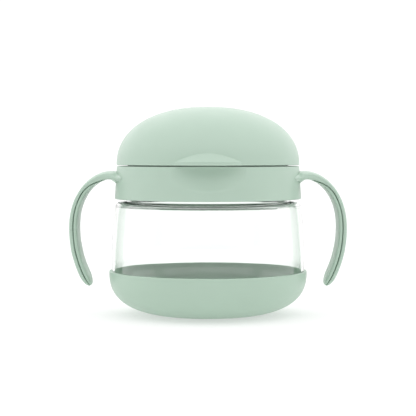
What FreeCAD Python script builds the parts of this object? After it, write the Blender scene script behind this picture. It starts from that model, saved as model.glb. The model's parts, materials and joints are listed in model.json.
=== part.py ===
import FreeCAD, Part
import math
import os
from FreeCAD import Vector as V

# A no-spill toddler cup: a clear bowl in a soft green boot, a twist-on collar ring with two
# handles, a soft insert of eight flaps in the collar's mouth, and a domed flip lid with a
# thumb tab.  Millimetres.  +Z is up, the origin is at the centre of the flat foot, the
# handles lie along X, and the thumb tab is at the front, on -Y.

# ---------------------------------------------------------------- driving dimensions
AXIS_Z = V(0, 0, 1)

BOOT_R = 50.25           # largest radius of the boot, at its rim
BOOT_RIM_Z = 22.4        # height of the boot's rim
BOOT_CURVE_Z = 21.8      # where the boot's side starts to curve under
BOOT_FLAT_R = 18.0       # radius of the truly flat middle of the foot
BOOT_POWER_R = 2.15      # exponents of the boot's superelliptic curve
BOOT_POWER_Z = 2.55
BOOT_WALL = 1.2
BOOT_FLOOR = 1.6
BOOT_LIP = 0.45          # rounding of the rim's outer edge

FIT = 0.05               # gap between pieces that are seated in each other
BOWL_WALL = 1.4
BOWL_FLOOR = 2.2
BOWL_SIDE = ((49.0, 32.0), (48.6, 42.7), (47.9, 50.4), (47.2, 54.7))
SHOULDER_R, SHOULDER_Z = 45.3, 57.3
SHOULDER_BEND = (46.75, 56.35)         # point on the bend between side and shoulder
SHOULDER_FALL = 0.35                   # how much lower the shoulder is at its edge than at the neck
NECK_R, NECK_WALL, NECK_TOP_Z = 42.0, 1.8, 69.3
NECK_LIP, NECK_BEND = 0.6, 1.3         # rounding of the neck's rim, and inside at its foot
LUG_ANGLES = (37.0, 143.0, 217.0, 323.0)
LUG_ARC = 22.0           # degrees that each bayonet lug takes up
LUG_Z, LUG_HEIGHT, LUG_R = 60.4, 1.8, 43.4
LUG_PLAY, LUG_RUN = 0.12, 0.25         # gaps below the bowl's lugs and inside the collar's
STOP_ARC, STOP_FOOT = 2.8, 0.1         # degrees of each stop, and its height above the collar's edge
ROOTED = 0.5                           # how deep small features reach into the wall that carries them

COLLAR_Z0, COLLAR_Z1 = 58.75, 75.4
COLLAR_R0, COLLAR_R1 = 47.4, 46.3      # outer radius at the bottom and at the top
COLLAR_WALL = 1.6
COLLAR_EDGE, SMALL_EDGE = 0.5, 0.3
FLANGE_R, FLANGE_Z = 44.0, 60.0        # inward flange at the collar's lower edge
DECK_Z0, DECK_Z1, DECK_R = 70.9, 72.5, 36.0
PLUG_R, PLUG_WALL, PLUG_Z = 39.9, 1.3, 56.4
SEAT_R0, SEAT_R1, SEAT_Z = 39.4, 41.0, 73.8
SCOOP_Z = 63.4                         # lower end of the finger scoop below the thumb tab
SCOOP_DEPTHS = (2.5, 3.5)              # its depth a third of the way up, and at the collar's top
SCOOP_WALL = 1.3
SCOOP_SOFT = 3.0                       # rounding of the scoop's edge
SCOOP_ABOVE = 4.0                      # how far the scoop's tool runs above the collar
SCOOP_LEAN = 0.3                       # how much further out the tool's face is at its top
TOOL_X, TOOL_Y = 30.0, -60.0           # half width and front of that tool
BACKING_GAP, BACKING_RISE = 0.3, 0.6   # clearances of the wall behind the scoop

FLAPS = 8
FLAP_HINGE_R, FLAP_HINGE_Z = 29.3, 73.3
FLAP_THICK, FLAP_SLIT, FLAP_TIP_R = 1.0, 0.5, 2.0
FLAP_GAP = 0.12
FLAP_RING_R, FLAP_RING_Z0, FLAP_RING_Z1 = 37.6, 72.55, 74.05
FRAME_R0, FRAME_R1, FRAME_Z1 = 33.5, 39.2, 75.1
FRAME_LEG_GAP = 0.1
GASKET_GAP, GASKET_OVERHANG, GASKET_Z = 0.1, 0.4, 69.38
GASKET_SOFT = 0.4

LID_R, LID_Z0, LID_Z1 = 46.4, 75.95, 105.4
LID_POWER, LID_WALL = 2.23, 1.9
LID_LIP = 0.4            # rounding of the lid's lower edge
LID_SKIRT_R0, LID_SKIRT_R1, LID_SKIRT_Z = 39.6, 40.8, 74.7
WEB_Z0, WEB_Z1, WEB_R = 76.1, 77.3, 45.4         # flat web between the skirt and the dome
SEAL_Z0, SEAL_Z1 = 73.9, 74.69
TAB_R, TAB_FRONT, TAB_EDGE_Z, TAB_RISE = 22.9, 50.0, 77.7, 5.0
TAB_EDGE = 0.7

HINGE_Y, HINGE_Z, KNUCKLE_R = 47.6, 73.6, 2.1
KNUCKLE_HALF, LUG_IN, LUG_OUT = 5.7, 6.2, 10.2
HINGE_SLACK = 0.3
HINGE_ROOT_Y = 44.9                              # where lugs and knuckle grow out of the walls
BUTTRESS_Z0, BUTTRESS_Z1 = 64.0, 71.0            # the lugs swell out from the collar between these
LID_ARM = ((45.9, 75.2), (44.9, 76.2), (44.9, 80.2), (46.9, 79.2), (49.7, 75.6))     # (y, z)
PIN_R, PIN_END, PIN_CHAMFER = 0.9, 0.1, 0.2
PIN_PRESS, PIN_PLAY = 0.02, 0.08                 # clearances in the lugs and in the knuckle

HANDLE_Z = 70.7                                  # height of the middle of the handle's root
HANDLE_LINE = ((40.0, 70.7), (46.6, 70.7), (51.0, 70.7), (55.6, 69.2), (62.2, 63.4), (66.4, 55.2),
               (67.95, 43.6), (66.5, 31.3), (62.4, 19.8), (59.6, 14.7))
STRAP_HALF_WIDTH = 9.8
STRAP_THICK_ROOT, STRAP_THICK_END = 4.2, 4.8
STRAP_THICKENS = (0.1, 0.7)                      # over these fractions of the handle's length
TIP_START, TIP_WIDTH = 0.90, 0.30                # where the tip starts to round, and its end width
ROOT_BLEND = 20.0                                # radius between strap and collar, from above
ROOT_DROP, ROOT_REACH = 2.3, 1.0                 # how the strap deepens just before the collar
ROOT_POWER, ROOT_FADE = 1.7, 3.0                 # the root's lens-shaped section fades over this length
GRIP_START, GRIP_FULL = 0.17, 0.34               # fractions of the handle's length
SIDE_POWER, PARTING_POWER = 3.0, 8.0             # how square its free sides and its parting line are
GRIP_INSET = 0.15


# ---------------------------------------------------------------- small helpers
def revolve(edges):
    """Turn a closed outline in the XZ plane about the Z axis."""
    return Part.Face(Part.Wire(edges)).revolve(V(), AXIS_Z, 360)


def rounded_outline(corners):
    """Lines and corner arcs through (r, z) or (r, z, radius) corners, closed."""
    count = len(corners)
    points = [V(c[0], 0, c[1]) for c in corners]
    edges, starts, ends = [], [], []
    for i, corner in enumerate(corners):
        here, before, after = points[i], points[i - 1], points[(i + 1) % count]
        radius = corner[2] if len(corner) > 2 else 0.0
        if radius == 0.0:
            starts.append(here)
            ends.append(here)
            continue
        a, b = (before - here).normalize(), (after - here).normalize()
        half = a.getAngle(b) / 2
        tangent = radius / math.tan(half)
        centre = here + (a + b).normalize() * (radius / math.sin(half))
        first, last = here + a * tangent, here + b * tangent
        middle = centre + (here - centre).normalize() * radius
        edges.append(Part.Arc(first, middle, last).toShape())
        starts.append(first)
        ends.append(last)
    for i in range(count):
        a, b = ends[i - 1], starts[i]
        if a.distanceToPoint(b) > 1e-6:
            edges.append(Part.LineSegment(a, b).toShape())
    return Part.__sortEdges__(edges)


def ring(r0, r1, z0, z1, soft=0.0):
    """A plain ring, with its corners rounded by soft."""
    return revolve(rounded_outline([(r0, z0, soft), (r1, z0, soft), (r1, z1, soft), (r0, z1, soft)]))


def ring_sector(radii, heights, middle, width):
    """The part of a ring that lies width degrees wide about the angle middle."""
    (r0, r1), (z0, z1) = radii, heights
    face = Part.Face(Part.makePolygon([V(r0, 0, z0), V(r1, 0, z0), V(r1, 0, z1), V(r0, 0, z1),
                                       V(r0, 0, z0)]))
    face.rotate(V(), AXIS_Z, middle - width / 2)
    return face.revolve(V(), AXIS_Z, width)


def arc(centre, radius, start, end):
    """An arc about (r, z) from one angle to another, in degrees from the r axis."""
    turns = [math.radians(a) for a in (start, (start + end) / 2, end)]
    return Part.Arc(*[V(centre[0] + radius * math.cos(t), 0, centre[1] + radius * math.sin(t))
                      for t in turns]).toShape()


def spline(points):
    curve = Part.BSplineCurve()
    curve.interpolate([V(r, 0, z) for r, z in points])
    return curve.toShape()


def arc_through(a, b, c):
    return Part.Arc(V(a[0], 0, a[1]), V(b[0], 0, b[1]), V(c[0], 0, c[1])).toShape()


def line(a, b):
    return Part.LineSegment(V(a[0], 0, a[1]), V(b[0], 0, b[1])).toShape()


def profile_in_yz(points, x0, x1):
    """Extrude an outline of (y, z) points from x0 to x1."""
    corners = [V(x0, y, z) for y, z in points]
    return Part.Face(Part.makePolygon(corners + corners[:1])).extrude(V(x1 - x0, 0, 0))


def cylinder_x(radius, x0, x1, y, z):
    return Part.makeCylinder(radius, x1 - x0, V(x0, y, z), V(1, 0, 0))


# ---------------------------------------------------------------- bowl and boot
def under_curve(inset, floor):
    """(r, z) points of the boot's curve, inset from its side, with its floor at this height."""
    points = []
    steps = 14
    for i in range(steps + 1):
        turn = math.radians(90.0 * i / steps)
        r = BOOT_FLAT_R + (BOOT_R - inset - BOOT_FLAT_R) * abs(math.cos(turn)) ** (2 / BOOT_POWER_R)
        z = BOOT_CURVE_Z - (BOOT_CURVE_Z - floor) * math.sin(turn) ** (2 / BOOT_POWER_Z)
        points.append((max(r, BOOT_FLAT_R), z))
    return points


def base_boot():
    outer = under_curve(0.0, 0.0)
    inner = under_curve(BOOT_WALL, BOOT_FLOOR)
    lip_r, lip_z = BOOT_R - BOOT_LIP, BOOT_RIM_Z - BOOT_LIP
    top_in = (BOOT_R - BOOT_WALL, BOOT_RIM_Z)
    return revolve([
        line((0, 0), outer[-1]), spline(outer[::-1]), line(outer[0], (BOOT_R, lip_z)),
        arc((lip_r, lip_z), BOOT_LIP, 0, 90), line((lip_r, BOOT_RIM_Z), top_in), line(top_in, inner[0]),
        spline(inner), line(inner[-1], (0, BOOT_FLOOR)), line((0, BOOT_FLOOR), (0, 0))])


def clear_bowl():
    """One even wall from the floor to the shoulder, then a thicker neck with bayonet lugs."""
    inset, floor = BOOT_WALL + FIT, BOOT_FLOOR + FIT
    low = under_curve(inset, floor)
    low_in = under_curve(inset + BOWL_WALL, floor + BOWL_FLOOR)
    side = [low[0]] + list(BOWL_SIDE)
    side_in = [low_in[0]] + [(r - BOWL_WALL, z) for r, z in BOWL_SIDE]
    shoulder_in = SHOULDER_Z - BOWL_WALL
    bend_in = (SHOULDER_BEND[0] - BOWL_WALL, SHOULDER_BEND[1] - BOWL_WALL / 2)
    end_in = (SHOULDER_R - BOWL_WALL, shoulder_in)
    neck_in = NECK_R - NECK_WALL
    neck_foot = (NECK_R, SHOULDER_Z + SHOULDER_FALL)
    rim_z = NECK_TOP_Z - NECK_LIP
    bend_r, bend_z = neck_in + NECK_BEND, shoulder_in + NECK_BEND
    bowl = revolve([
        line((0, floor), low[-1]), spline(low[::-1]), spline(side),
        arc_through(side[-1], SHOULDER_BEND, (SHOULDER_R, SHOULDER_Z)),
        line((SHOULDER_R, SHOULDER_Z), neck_foot), line(neck_foot, (NECK_R, rim_z)),
        arc_through((NECK_R, rim_z), (NECK_R - NECK_WALL / 2, NECK_TOP_Z), (neck_in, rim_z)),
        line((neck_in, rim_z), (neck_in, bend_z)), arc((bend_r, bend_z), NECK_BEND, 180, 270),
        line((bend_r, shoulder_in), end_in), arc_through(end_in, bend_in, side_in[-1]),
        spline(side_in[::-1]), spline(low_in), line(low_in[-1], (0, floor + BOWL_FLOOR)),
        line((0, floor + BOWL_FLOOR), (0, floor))])
    radii = (NECK_R - ROOTED, LUG_R)
    lug_top = LUG_Z + LUG_HEIGHT
    for angle in LUG_ANGLES:
        stop_angle = angle - (LUG_ARC + STOP_ARC) / 2
        bowl = bowl.fuse(ring_sector(radii, (LUG_Z, lug_top), angle, LUG_ARC))
        bowl = bowl.fuse(ring_sector(radii, (COLLAR_Z0 + STOP_FOOT, lug_top), stop_angle, STOP_ARC))
    return bowl.removeSplitter()


# ---------------------------------------------------------------- collar
def collar_radius(z):
    """Outer radius of the slightly conical collar at this height."""
    return COLLAR_R0 + (COLLAR_R1 - COLLAR_R0) * (z - COLLAR_Z0) / (COLLAR_Z1 - COLLAR_Z0)


def scoop_cutter(push):
    """What the finger scoop takes off the collar's front, moved in by push."""
    third = SCOOP_Z + (COLLAR_Z1 - SCOOP_Z) / 3
    above = COLLAR_Z1 + SCOOP_ABOVE
    y_low = -(collar_radius(SCOOP_Z) - push)
    y_middle = -(collar_radius(third) - SCOOP_DEPTHS[0] - push)
    y_top = -(COLLAR_R1 - SCOOP_DEPTHS[1] - push)
    corners = [(y_low, SCOOP_Z), (y_middle, third), (y_top, COLLAR_Z1), (y_top + SCOOP_LEAN, above),
               (TOOL_Y, above), (TOOL_Y, SCOOP_Z)]
    points = [V(-TOOL_X, y, z) for y, z in corners]
    edges = [Part.Arc(*points[:3]).toShape(), Part.makePolygon(points[2:] + points[:1])]
    return Part.Face(Part.Wire(edges)).extrude(V(2 * TOOL_X, 0, 0))


def scooped_cone():
    """The collar's outside as a solid cone, a little taller than the collar, with the soft-edged scoop."""
    top = COLLAR_Z1 + SCOOP_ABOVE
    cone = Part.makeCone(COLLAR_R0, collar_radius(top), top - COLLAR_Z0, V(0, 0, COLLAR_Z0))
    body = cone.cut(scoop_cutter(0.0)).removeSplitter()
    edges = []
    for edge in body.Edges:
        middle = edge.valueAt((edge.FirstParameter + edge.LastParameter) / 2)
        on_cone = abs(math.hypot(middle.x, middle.y) - collar_radius(middle.z)) < FIT
        if on_cone and edge.BoundBox.ZLength > SCOOP_SOFT and edge.BoundBox.YMax < -TOOL_X:
            edges.append(edge)
    return body.makeFillet(SCOOP_SOFT, edges)


def hinge_lugs():
    """Two lugs that carry the pin, each on a buttress that swells out of the collar's back."""
    out_y = HINGE_Y + KNUCKLE_R
    buttress = [(HINGE_ROOT_Y, BUTTRESS_Z0), (collar_radius(BUTTRESS_Z0), BUTTRESS_Z0), (out_y, BUTTRESS_Z1),
                (out_y, HINGE_Z), (HINGE_ROOT_Y, HINGE_Z)]
    solids = []
    for x0, x1 in ((LUG_IN, LUG_OUT), (-LUG_OUT, -LUG_IN)):
        solids += [profile_in_yz(buttress, x0, x1), cylinder_x(KNUCKLE_R, x0, x1, HINGE_Y, HINGE_Z)]
    return solids


def knuckle_room(y, z):
    """Room for the lid's knuckle, cut out of the collar from this y and z upwards and backwards."""
    half, size = KNUCKLE_HALF + HINGE_SLACK, 4 * KNUCKLE_R
    return Part.makeBox(2 * half, size, size, V(-half, y, z))


def scoop_backing():
    """The wall behind the scoop: thick above the deck, and clear of the bowl's neck below it."""
    outer = COLLAR_R1 - BACKING_GAP
    upper = ring(SEAT_R1 + BACKING_GAP, outer, DECK_Z0, COLLAR_Z1)
    lower = ring(NECK_R + ROOTED, outer, LUG_Z + LUG_HEIGHT + BACKING_RISE, DECK_Z0 + ROOTED)
    return upper.fuse(lower).common(scoop_cutter(SCOOP_WALL))


def collar_ring():
    """Outer wall, flange with bayonet lugs, deck with the lid's seat, and a plug inside the bowl's neck."""
    top_in, deck_in, low_in = [collar_radius(z) - COLLAR_WALL for z in (COLLAR_Z1, DECK_Z0, FLANGE_Z)]
    plug_in = PLUG_R - PLUG_WALL
    collar = revolve(rounded_outline([
        (COLLAR_R0, COLLAR_Z0, COLLAR_EDGE), (COLLAR_R1, COLLAR_Z1, COLLAR_EDGE),
        (top_in, COLLAR_Z1, SMALL_EDGE), (top_in, DECK_Z1), (SEAT_R1, DECK_Z1),
        (SEAT_R1, SEAT_Z, SMALL_EDGE), (SEAT_R0, SEAT_Z, SMALL_EDGE), (SEAT_R0, DECK_Z1),
        (DECK_R, DECK_Z1, SMALL_EDGE), (DECK_R, DECK_Z0, SMALL_EDGE), (plug_in, DECK_Z0),
        (plug_in, PLUG_Z, SMALL_EDGE), (PLUG_R, PLUG_Z, SMALL_EDGE), (PLUG_R, DECK_Z0), (deck_in, DECK_Z0),
        (low_in, FLANGE_Z), (FLANGE_R, FLANGE_Z), (FLANGE_R, COLLAR_Z0, SMALL_EDGE)]))
    collar = collar.fuse(scoop_backing()).common(scooped_cone())
    for angle in LUG_ANGLES:
        lug = ring_sector((NECK_R + LUG_RUN, low_in + ROOTED), (COLLAR_Z0 + SMALL_EDGE, LUG_Z - LUG_PLAY),
                          angle, LUG_ARC)
        collar = collar.fuse(lug)
    for solid in hinge_lugs():
        collar = collar.fuse(solid)
    collar = collar.cut(knuckle_room(top_in, HINGE_Z - KNUCKLE_R - HINGE_SLACK))
    collar = collar.cut(knuckle_room(top_in - ROOTED, DECK_Z1))
    collar = collar.cut(cylinder_x(PIN_R + PIN_PRESS, -LUG_OUT - 1, LUG_OUT + 1, HINGE_Y, HINGE_Z))
    return collar.removeSplitter()


def bowl_gasket():
    return ring(PLUG_R + GASKET_GAP, NECK_R + GASKET_OVERHANG, GASKET_Z, DECK_Z0 - FIT, GASKET_SOFT)


def hinge_pin():
    pin = cylinder_x(PIN_R, -LUG_OUT - PIN_END, LUG_OUT + PIN_END, HINGE_Y, HINGE_Z)
    ends = [e for e in pin.Edges if e.Curve.TypeId == "Part::GeomCircle"]
    return pin.makeChamfer(PIN_CHAMFER, ends)


# ---------------------------------------------------------------- handles
def handle_curve():
    curve = Part.BSplineCurve()
    curve.interpolate([V(x, 0, z) for x, z in HANDLE_LINE])
    return curve


def ramp(a, b, x):
    """From 0 at a to 1 at b, in a straight line."""
    return min(max((x - a) / (b - a), 0.0), 1.0)


def smooth_ramp(a, b, x):
    t = ramp(a, b, x)
    return t * t * (3 - 2 * t)


def strap_half_width(x):
    """Half the strap's width at x, where its sides run into the collar's outside on a large radius."""
    radius = collar_radius(HANDLE_Z) + FIT
    centre_y = STRAP_HALF_WIDTH + ROOT_BLEND
    centre_x = math.sqrt((radius + ROOT_BLEND) ** 2 - centre_y ** 2)
    touch_x = centre_x * radius / (radius + ROOT_BLEND)
    away = centre_x - min(max(x, touch_x), centre_x)
    return centre_y - math.sqrt(ROOT_BLEND ** 2 - away ** 2)


def handle_section(curve, s):
    """The handle at fraction s of its length: its middle, outward direction, half width, inner, outer
    and parting-line offsets, and how much of the root's lens shape is left."""
    u = curve.FirstParameter + (curve.LastParameter - curve.FirstParameter) * s
    centre = curve.value(u)
    along = V(*curve.tangent(u)[0])
    out = V(-along.z, 0, along.x)
    thick = STRAP_THICK_ROOT + (STRAP_THICK_END - STRAP_THICK_ROOT) * smooth_ramp(*STRAP_THICKENS, s)
    end = math.sqrt(1 - ramp(TIP_START, 1.0, s) ** 2)
    from_wall = max(centre.x - collar_radius(HANDLE_Z), 0.0)
    width = strap_half_width(centre.x) * (TIP_WIDTH + (1 - TIP_WIDTH) * end)
    inner = -thick / 2 * end - ROOT_DROP * math.exp(-from_wall / ROOT_REACH)
    parting = inner * (1 - smooth_ramp(GRIP_START, GRIP_FULL, s))
    return centre, out, width, inner, thick / 2 * end, parting, math.exp(-from_wall / ROOT_FADE)


def section_wire(centre, out, half_width, limits, powers):
    """A closed superelliptic section between two offsets, with its own power on each side."""
    low, high = limits
    middle, half = (low + high) / 2, max((high - low) / 2, FIT)
    points = []
    steps = 40
    for i in range(steps):
        turn = 2 * math.pi * i / steps
        c, d = math.cos(turn), math.sin(turn)
        power = powers[1] if c > 0 else powers[0]
        across = math.copysign(abs(c) ** (2 / power), c) * half + middle
        wide = math.copysign(abs(d) ** (2 / power), d) * half_width
        points.append(centre + out * across + V(0, wide, 0))
    loop = Part.BSplineCurve()
    loop.interpolate(Points=points, PeriodicFlag=True)
    return Part.Wire(loop.toShape())


def handle_pieces():
    """The hard strap and the soft grip of the right handle."""
    curve = handle_curve()
    stations = [0.0, 0.02, 0.04, 0.06, 0.08, 0.095, 0.11, 0.13, 0.155, 0.18, 0.22, 0.27, 0.33, 0.40,
                0.50, 0.60, 0.70, 0.80, 0.88, 0.92, 0.95, 0.97, 0.985, 0.997]
    strap_wires, grip_wires = [], []
    for s in stations:
        centre, out, width, inner, outer, parting, root = handle_section(curve, s)
        side = SIDE_POWER + (ROOT_POWER - SIDE_POWER) * root
        flat = PARTING_POWER + (ROOT_POWER - PARTING_POWER) * root
        strap_wires.append(section_wire(centre, out, width, (parting, outer), (flat, side)))
        if s > GRIP_START:
            grip_limits = (inner, parting - FIT)
            grip_wires.append(section_wire(centre, out, width - GRIP_INSET, grip_limits, (side, flat)))
    wall = Part.makeCone(COLLAR_R0 + FIT, COLLAR_R1 + FIT, COLLAR_Z1 - COLLAR_Z0, V(0, 0, COLLAR_Z0))
    return Part.makeLoft(strap_wires, True).cut(wall), Part.makeLoft(grip_wires, True)


def mirrored(shape):
    return shape.mirror(V(), V(1, 0, 0))


# ---------------------------------------------------------------- insert of soft flaps
def octagon(apothem, z0, z1):
    corner = apothem / math.cos(math.pi / FLAPS)
    turns = [math.pi * (2 * i + 1) / FLAPS for i in range(FLAPS)]
    points = [V(corner * math.cos(t), corner * math.sin(t), z0) for t in turns]
    return Part.Face(Part.makePolygon(points + points[:1])).extrude(V(0, 0, z1 - z0))


def flap_ring():
    outer = Part.makeCylinder(FLAP_RING_R, FLAP_RING_Z1 - FLAP_RING_Z0, V(0, 0, FLAP_RING_Z0))
    mouth = FLAP_HINGE_R + FLAP_THICK / 2 + FLAP_GAP
    return outer.cut(octagon(mouth, FLAP_RING_Z0 - FLAP_THICK, FLAP_RING_Z1 + FLAP_THICK))


def flap(index):
    """One flap, hinged along the straight edge of the octagonal mouth."""
    half = FLAP_THICK / 2
    slope = math.tan(math.pi / FLAPS)
    slit = FLAP_SLIT / 2 / math.cos(math.pi / FLAPS)
    wide, narrow = FLAP_HINGE_R * slope - slit, FLAP_TIP_R * slope
    tip, under = FLAP_TIP_R + slit / slope, FLAP_HINGE_Z - half
    corners = [V(FLAP_HINGE_R, -wide, under), V(FLAP_HINGE_R, wide, under), V(tip, narrow, under),
               V(tip, -narrow, under)]
    leaf = Part.Face(Part.makePolygon(corners + corners[:1])).extrude(V(0, 0, FLAP_THICK))
    root = Part.makeCylinder(half, 2 * wide, V(FLAP_HINGE_R, -wide, FLAP_HINGE_Z), V(0, 1, 0))
    leaf = leaf.fuse(root).removeSplitter()
    leaf.rotate(V(), AXIS_Z, 360.0 / FLAPS * index)
    return leaf


def flap_frame():
    leg, under = FLAP_RING_R + FRAME_LEG_GAP, FLAP_RING_Z1 + FIT
    return revolve(rounded_outline([
        (leg, FLAP_RING_Z0), (FRAME_R1, FLAP_RING_Z0, SMALL_EDGE), (FRAME_R1, FRAME_Z1, SMALL_EDGE),
        (FRAME_R0, FRAME_Z1, SMALL_EDGE), (FRAME_R0, under, SMALL_EDGE), (leg, under)]))


# ---------------------------------------------------------------- lid
def dome_points(inset):
    steps = 16
    points = []
    for i in range(steps + 1):
        turn = math.radians(90.0 * i / steps)
        r = (LID_R - inset) * abs(math.cos(turn)) ** (2 / LID_POWER)
        z = LID_Z0 + (LID_Z1 - LID_Z0 - inset) * math.sin(turn) ** (2 / LID_POWER)
        points.append((r if i < steps else 0.0, z))
    return points


def dome(inset, lip):
    """A solid dome, this much smaller than the lid's outside, with its lower edge rounded by lip."""
    outer = dome_points(inset)
    radius = outer[0][0]
    outer[0] = (radius, LID_Z0 + lip)
    edge = arc((radius - lip, LID_Z0 + lip), lip, -90, 0)
    return revolve([line((0, LID_Z0), (radius - lip, LID_Z0)), edge, spline(outer),
                    line(outer[-1], (0, LID_Z0))])


def thumb_tab():
    """A round plate with a sloping top, most of which lies inside the dome."""
    top = TAB_EDGE_Z + TAB_RISE
    tab = revolve(rounded_outline([
        (0, LID_Z0), (TAB_R, LID_Z0, LID_LIP), (TAB_R, TAB_EDGE_Z, TAB_EDGE), (TAB_R - TAB_RISE, top),
        (0, top)]))
    tab.translate(V(0, TAB_R - TAB_FRONT, 0))
    return tab


def lid_knuckle():
    arm = list(LID_ARM) + [(HINGE_Y + KNUCKLE_R, HINGE_Z), (HINGE_Y, HINGE_Z)]
    return [profile_in_yz(arm, -KNUCKLE_HALF, KNUCKLE_HALF),
            cylinder_x(KNUCKLE_R, -KNUCKLE_HALF, KNUCKLE_HALF, HINGE_Y, HINGE_Z)]


def flip_lid():
    hollow = dome(LID_WALL, LID_LIP)
    shell = dome(0.0, LID_LIP).fuse(thumb_tab())
    for solid in lid_knuckle():
        shell = shell.fuse(solid)
    shell = shell.cut(hollow)
    web = revolve(rounded_outline([
        (LID_SKIRT_R0, LID_SKIRT_Z), (LID_SKIRT_R1, LID_SKIRT_Z), (LID_SKIRT_R1, WEB_Z0, SMALL_EDGE),
        (WEB_R, WEB_Z0), (WEB_R, WEB_Z1), (LID_SKIRT_R0, WEB_Z1, SMALL_EDGE)]))
    bore = cylinder_x(PIN_R + PIN_PLAY, -LUG_OUT, LUG_OUT, HINGE_Y, HINGE_Z)
    return shell.fuse(web).cut(bore).removeSplitter()


def lid_seal():
    return ring(LID_SKIRT_R0, LID_SKIRT_R1, SEAL_Z0, SEAL_Z1, SMALL_EDGE)


# ---------------------------------------------------------------- write the sub-parts
def write(name, shape):
    if not shape.isValid() or len(shape.Solids) != 1:
        print("look at", name, "valid", shape.isValid(), "solids", len(shape.Solids))
    shape.exportStep("parts/" + name + ".step")


def main():
    os.makedirs("parts", exist_ok=True)
    strap, grip = handle_pieces()
    write("clear_bowl", clear_bowl())
    write("base_boot", base_boot())
    write("collar_ring", collar_ring())
    write("bowl_gasket", bowl_gasket())
    write("hinge_pin", hinge_pin())
    write("right_handle", strap)
    write("left_handle", mirrored(strap))
    write("right_handle_grip", grip)
    write("left_handle_grip", mirrored(grip))
    write("flap_ring", flap_ring())
    write("flap_frame", flap_frame())
    for index in range(FLAPS):
        write("flap_%d" % (index + 1), flap(index))
    write("flip_lid", flip_lid())
    write("lid_seal", lid_seal())


main()
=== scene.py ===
import json
import math

import bpy
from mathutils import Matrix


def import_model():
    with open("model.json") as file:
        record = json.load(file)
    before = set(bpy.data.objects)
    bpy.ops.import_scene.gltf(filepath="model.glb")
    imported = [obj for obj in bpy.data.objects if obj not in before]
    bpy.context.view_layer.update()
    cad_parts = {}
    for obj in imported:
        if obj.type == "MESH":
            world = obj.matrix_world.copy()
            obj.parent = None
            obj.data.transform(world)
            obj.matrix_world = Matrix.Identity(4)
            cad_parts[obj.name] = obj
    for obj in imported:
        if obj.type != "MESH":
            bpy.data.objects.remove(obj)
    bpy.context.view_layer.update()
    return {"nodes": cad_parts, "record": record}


# A no-spill toddler cup: clear bowl, soft green boot, collar with two handles, flip lid.
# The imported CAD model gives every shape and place. This script gives the looks, light and view.

# Camera: a long lens just above the lid's seam, looking slightly down. Metres and degrees, but the lens
# and its sensor are in millimetres.
CAMERA_DISTANCE = 0.670
CAMERA_HEIGHT = 0.0810
CAMERA_PITCH = 2.306
CAMERA_LENS = 113.9
CAMERA_SENSOR = 36.0
CAMERA_CLIP = (0.01, 50.0)

# Linear colours
SAGE = (0.478, 0.62, 0.518)
SAGE_SOFT = (0.46, 0.61, 0.50)
SILICONE = (0.74, 0.82, 0.76)
NATURAL = (0.78, 0.78, 0.74)
CLEAR = (0.965, 0.990, 0.972)
TABLE = ((0.545, 0.545, 0.545), (0.555, 0.555, 0.555))
WHITE = (1.0, 1.0, 1.0, 1.0)

# Roughness: the mean of each moulded piece and how far it wanders, and the ranges of the others
PLASTIC_ROUGHNESS, RUBBER_ROUGHNESS, PIN_ROUGHNESS = 0.345, 0.40, 0.36
UNEVEN_GLOSS = 0.04
CLEAR_ROUGHNESS = (0.0, 0.02)
SILICONE_ROUGHNESS = (0.42, 0.54)
TABLE_ROUGHNESS = 0.9

# Refractive indices
PLASTIC_IOR, CLEAR_IOR, SILICONE_IOR, TABLE_IOR = 1.49, 1.5, 1.41, 1.3

# Share by which the colour wanders either way
PLASTIC_MOTTLE, SILICONE_MOTTLE = 0.025, 0.03

# Noise, in waves per metre: colour, gloss and slow waves of the surface
MOTTLE_PER_METRE, GLOSS_PER_METRE, WAVES_PER_METRE = 70.0, 110.0, 55.0
SILICONE_MOTTLE_PER_METRE, SILICONE_GLOSS_PER_METRE = 120.0, 200.0
CLEAR_GLOSS_PER_METRE, CLEAR_WAVES_PER_METRE = 90.0, 45.0
TABLE_MOTTLE_PER_METRE = 3.0
GRAIN_PER_METRE = 1400.0

# Octaves added to the noise of colour and gloss, and the middle of a noise's range, which the remap spreads
MOTTLE_DETAIL, TABLE_DETAIL = 1.0, 3.0
NOISE_MIDDLE = (0.25, 0.75)

# Relief, in metres: slow waves, fine grain, and the rings under the foot
WAVE_DEPTH, CLEAR_WAVE_DEPTH = 0.00008, 0.00004
PLASTIC_GRAIN, RUBBER_GRAIN, PIN_GRAIN, SILICONE_GRAIN = 0.000002, 0.000004, 0.000001, 0.000004
SOFT_RELIEF, CLEAR_RELIEF = 0.5, 0.4
RING_SPACING, RING_DEPTH = 0.0022, 0.0003
RING_TOP, RING_REACH = 0.0012, 0.0297

# Light that seeps into the silicone: its share, and how far it goes in metres
SILICONE_SEEP, SILICONE_SEEP_REACH = 0.35, 0.002

# The tent: its direction of growing light, and where and how far the light grows
TENT_DIRECTION = (0.0, 0.3, 1.0)
TENT_FADE = (-0.35, 0.6)
TENT_LIGHT = (0.06, 1.34)
BACKDROP = 1.1

# The table: its own light, its half width, and how far it lies below the foot, in metres
TABLE_GLOW = 0.46
TABLE_REACH = 6.0
TABLE_DROP = 0.00002


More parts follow.
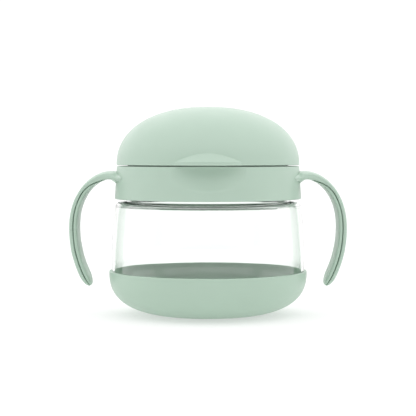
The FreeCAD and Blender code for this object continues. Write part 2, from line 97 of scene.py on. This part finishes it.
# ---------------------------------------------------------------- node helpers
class Nodes:
    """A material's node tree, built from short calls."""

    def __init__(self, name):
        self.material = bpy.data.materials.new(name)
        self.material.use_nodes = True
        self.tree = self.material.node_tree
        self.shader = self.tree.nodes["Principled BSDF"]
        self.place = self.add("ShaderNodeNewGeometry").outputs["Position"]

    def add(self, kind, **inputs):
        node = self.tree.nodes.new(kind)
        for key, value in inputs.items():
            self.feed(node.inputs[key.replace("_", " ")], value)
        return node

    def feed(self, socket, value):
        """Link the socket to another node's output, or set it to a plain value."""
        if isinstance(value, bpy.types.NodeSocket):
            self.tree.links.new(value, socket)
        else:
            socket.default_value = value

    def set(self, **inputs):
        """Feed the shader's own sockets."""
        for key, value in inputs.items():
            self.feed(self.shader.inputs[key.replace("_", " ")], value)

    def noise(self, per_metre, detail=0.0):
        node = self.add("ShaderNodeTexNoise", Vector=self.place, Scale=per_metre, Detail=detail)
        return node.outputs["Fac"]

    def remap(self, value, low, high):
        """Spread the middle half of a noise over the range from low to high."""
        node = self.add("ShaderNodeMapRange", Value=value, To_Min=low, To_Max=high,
                        From_Min=NOISE_MIDDLE[0], From_Max=NOISE_MIDDLE[1])
        return node.outputs["Result"]

    def mix(self, factor, first, second):
        node = self.tree.nodes.new("ShaderNodeMix")
        node.data_type = "RGBA"
        self.feed(node.inputs["Factor"], factor)
        self.feed(node.inputs["A"], (*first, 1.0))
        self.feed(node.inputs["B"], (*second, 1.0))
        return node.outputs["Result"]

    def mottled(self, colour, share, per_metre):
        """A colour that wanders by this share to either side."""
        factor = self.noise(per_metre, detail=MOTTLE_DETAIL)
        return self.mix(factor, scaled(colour, 1 - share), scaled(colour, 1 + share))

    def bump(self, height, distance, strength=1.0, under=None):
        node = self.add("ShaderNodeBump", Height=height, Distance=distance, Strength=strength)
        if under is not None:
            self.tree.links.new(under, node.inputs["Normal"])
        return node.outputs["Normal"]

    def calc(self, operation, first, second=0.0):
        node = self.tree.nodes.new("ShaderNodeMath")
        node.operation = operation
        self.feed(node.inputs[0], first)
        self.feed(node.inputs[1], second)
        return node.outputs[0]

    def foot_rings(self):
        """A height that waves with the distance from the cup's axis, on the flat under the foot only."""
        split = self.add("ShaderNodeSeparateXYZ", Vector=self.place)
        x, y, z = split.outputs
        reach = self.calc("SQRT", self.calc("ADD", self.calc("MULTIPLY", x, x), self.calc("MULTIPLY", y, y)))
        wave = self.calc("SINE", self.calc("MULTIPLY", reach, 2 * math.pi / RING_SPACING))
        low = self.calc("LESS_THAN", z, RING_TOP)
        near = self.calc("LESS_THAN", reach, RING_REACH)
        return self.calc("MULTIPLY", wave, self.calc("MULTIPLY", low, near))


def scaled(colour, factor):
    return tuple(min(c * factor, 1.0) for c in colour)


# ---------------------------------------------------------------- materials
def moulded(name, colour, roughness, grain, rings=False):
    """Satin moulded plastic or elastomer: faint flow mottling, uneven gloss, long soft waves where the
    wall shrank, and a fine grain. rings adds the non-slip rings under the foot."""
    m = Nodes(name)
    gloss = m.noise(GLOSS_PER_METRE, detail=MOTTLE_DETAIL)
    relief = m.bump(m.noise(WAVES_PER_METRE), WAVE_DEPTH, SOFT_RELIEF)
    relief = m.bump(m.noise(GRAIN_PER_METRE), grain, SOFT_RELIEF, under=relief)
    if rings:
        relief = m.bump(m.foot_rings(), RING_DEPTH, under=relief)
    m.set(Base_Color=m.mottled(colour, PLASTIC_MOTTLE, MOTTLE_PER_METRE),
          Roughness=m.remap(gloss, roughness - UNEVEN_GLOSS, roughness + UNEVEN_GLOSS),
          Normal=relief, IOR=PLASTIC_IOR)
    return m.material


def clear_plastic():
    """Polished glass-clear plastic, which lets the light of the tent straight through."""
    m = Nodes("clear_copolyester")
    m.set(Base_Color=(*CLEAR, 1.0), Transmission_Weight=1.0, IOR=CLEAR_IOR,
          Roughness=m.remap(m.noise(CLEAR_GLOSS_PER_METRE), *CLEAR_ROUGHNESS),
          Normal=m.bump(m.noise(CLEAR_WAVES_PER_METRE), CLEAR_WAVE_DEPTH, CLEAR_RELIEF))
    pass_on = m.add("ShaderNodeBsdfTransparent", Color=(*CLEAR, 1.0))
    mixer = m.add("ShaderNodeMixShader", Fac=m.add("ShaderNodeLightPath").outputs["Is Shadow Ray"])
    m.tree.links.new(m.shader.outputs[0], mixer.inputs[1])
    m.tree.links.new(pass_on.outputs[0], mixer.inputs[2])
    m.tree.links.new(mixer.outputs[0], m.tree.nodes["Material Output"].inputs["Surface"])
    return m.material


def silicone():
    """Milky silicone: dull, slightly mottled, and lit a little from within."""
    m = Nodes("silicone")
    m.set(Base_Color=m.mottled(SILICONE, SILICONE_MOTTLE, SILICONE_MOTTLE_PER_METRE),
          Roughness=m.remap(m.noise(SILICONE_GLOSS_PER_METRE, detail=MOTTLE_DETAIL), *SILICONE_ROUGHNESS),
          Normal=m.bump(m.noise(GRAIN_PER_METRE), SILICONE_GRAIN, SOFT_RELIEF),
          IOR=SILICONE_IOR, Subsurface_Weight=SILICONE_SEEP, Subsurface_Scale=SILICONE_SEEP_REACH,
          Subsurface_Radius=(1.0, 1.0, 1.0))
    return m.material


def table_material():
    m = Nodes("floor")
    m.set(Base_Color=m.mix(m.noise(TABLE_MOTTLE_PER_METRE, detail=TABLE_DETAIL), *TABLE),
          Roughness=TABLE_ROUGHNESS, IOR=TABLE_IOR, Emission_Color=WHITE, Emission_Strength=TABLE_GLOW)
    return m.material


# ---------------------------------------------------------------- stage, light and camera
def make_camera():
    data = bpy.data.cameras.new("camera")
    data.lens = CAMERA_LENS
    data.sensor_width = CAMERA_SENSOR
    data.clip_start, data.clip_end = CAMERA_CLIP
    camera = bpy.data.objects.new("camera", data)
    camera.location = (0.0, -CAMERA_DISTANCE, CAMERA_HEIGHT)
    camera.rotation_euler = (math.radians(90.0 - CAMERA_PITCH), 0.0, 0.0)
    bpy.context.scene.collection.objects.link(camera)
    bpy.context.scene.camera = camera


def make_world():
    """A white room, plain white to the eye. Its light and its mirror image grow dimmer towards the
    horizon, and most on the camera's side, as in a light tent with an opening in front."""
    world = bpy.data.worlds.new("tent")
    bpy.context.scene.world = world
    world.use_nodes = True
    nodes, links = world.node_tree.nodes, world.node_tree.links
    away = nodes.new("ShaderNodeVectorMath")
    away.operation = "DOT_PRODUCT"
    away.inputs[1].default_value = TENT_DIRECTION
    links.new(nodes.new("ShaderNodeTexCoord").outputs["Generated"], away.inputs[0])
    fade = nodes.new("ShaderNodeMapRange")
    fade.interpolation_type = "SMOOTHERSTEP"
    for key, value in zip(("From Min", "From Max", "To Min", "To Max"), TENT_FADE + TENT_LIGHT):
        fade.inputs[key].default_value = value
    links.new(away.outputs["Value"], fade.inputs["Value"])
    path = nodes.new("ShaderNodeLightPath")
    seen = nodes.new("ShaderNodeMath")
    seen.operation = "MAXIMUM"
    links.new(path.outputs["Is Camera Ray"], seen.inputs[0])
    links.new(path.outputs["Is Transmission Ray"], seen.inputs[1])
    level = nodes.new("ShaderNodeMix")
    links.new(seen.outputs[0], level.inputs["Factor"])
    links.new(fade.outputs["Result"], level.inputs["A"])
    level.inputs["B"].default_value = BACKDROP
    links.new(level.outputs["Result"], nodes["Background"].inputs["Strength"])
    nodes["Background"].inputs["Color"].default_value = WHITE


def make_floor():
    """The plain table top, a hair below the foot."""
    mesh = bpy.data.meshes.new("floor")
    ways = [(-1, -1), (1, -1), (1, 1), (-1, 1)]
    corners = [(x * TABLE_REACH, y * TABLE_REACH, -TABLE_DROP) for x, y in ways]
    mesh.from_pydata(corners, [], [(0, 1, 2, 3)])
    mesh.materials.append(table_material())
    floor = bpy.data.objects.new("floor", mesh)
    bpy.context.scene.collection.objects.link(floor)


# ---------------------------------------------------------------- the object
def dress(frame):
    """Give every CAD node the material of its slot."""
    looks = {
        "green_plastic": moulded("sage_plastic", SAGE, PLASTIC_ROUGHNESS, PLASTIC_GRAIN),
        "soft_green": moulded("sage_elastomer", SAGE_SOFT, RUBBER_ROUGHNESS, RUBBER_GRAIN, rings=True),
        "pin_plastic": moulded("acetal", NATURAL, PIN_ROUGHNESS, PIN_GRAIN),
        "clear_plastic": clear_plastic(),
        "silicone": silicone(),
    }
    slots = {row["node"]: row["material_slot"] for row in frame["record"]["subparts"]}
    for node, piece in frame["nodes"].items():
        piece.data.materials.clear()
        piece.data.materials.append(looks[slots[node]])


def main():
    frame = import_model()
    make_camera()
    bpy.context.scene.view_settings.view_transform = "Standard"
    make_world()
    make_floor()
    dress(frame)


main()
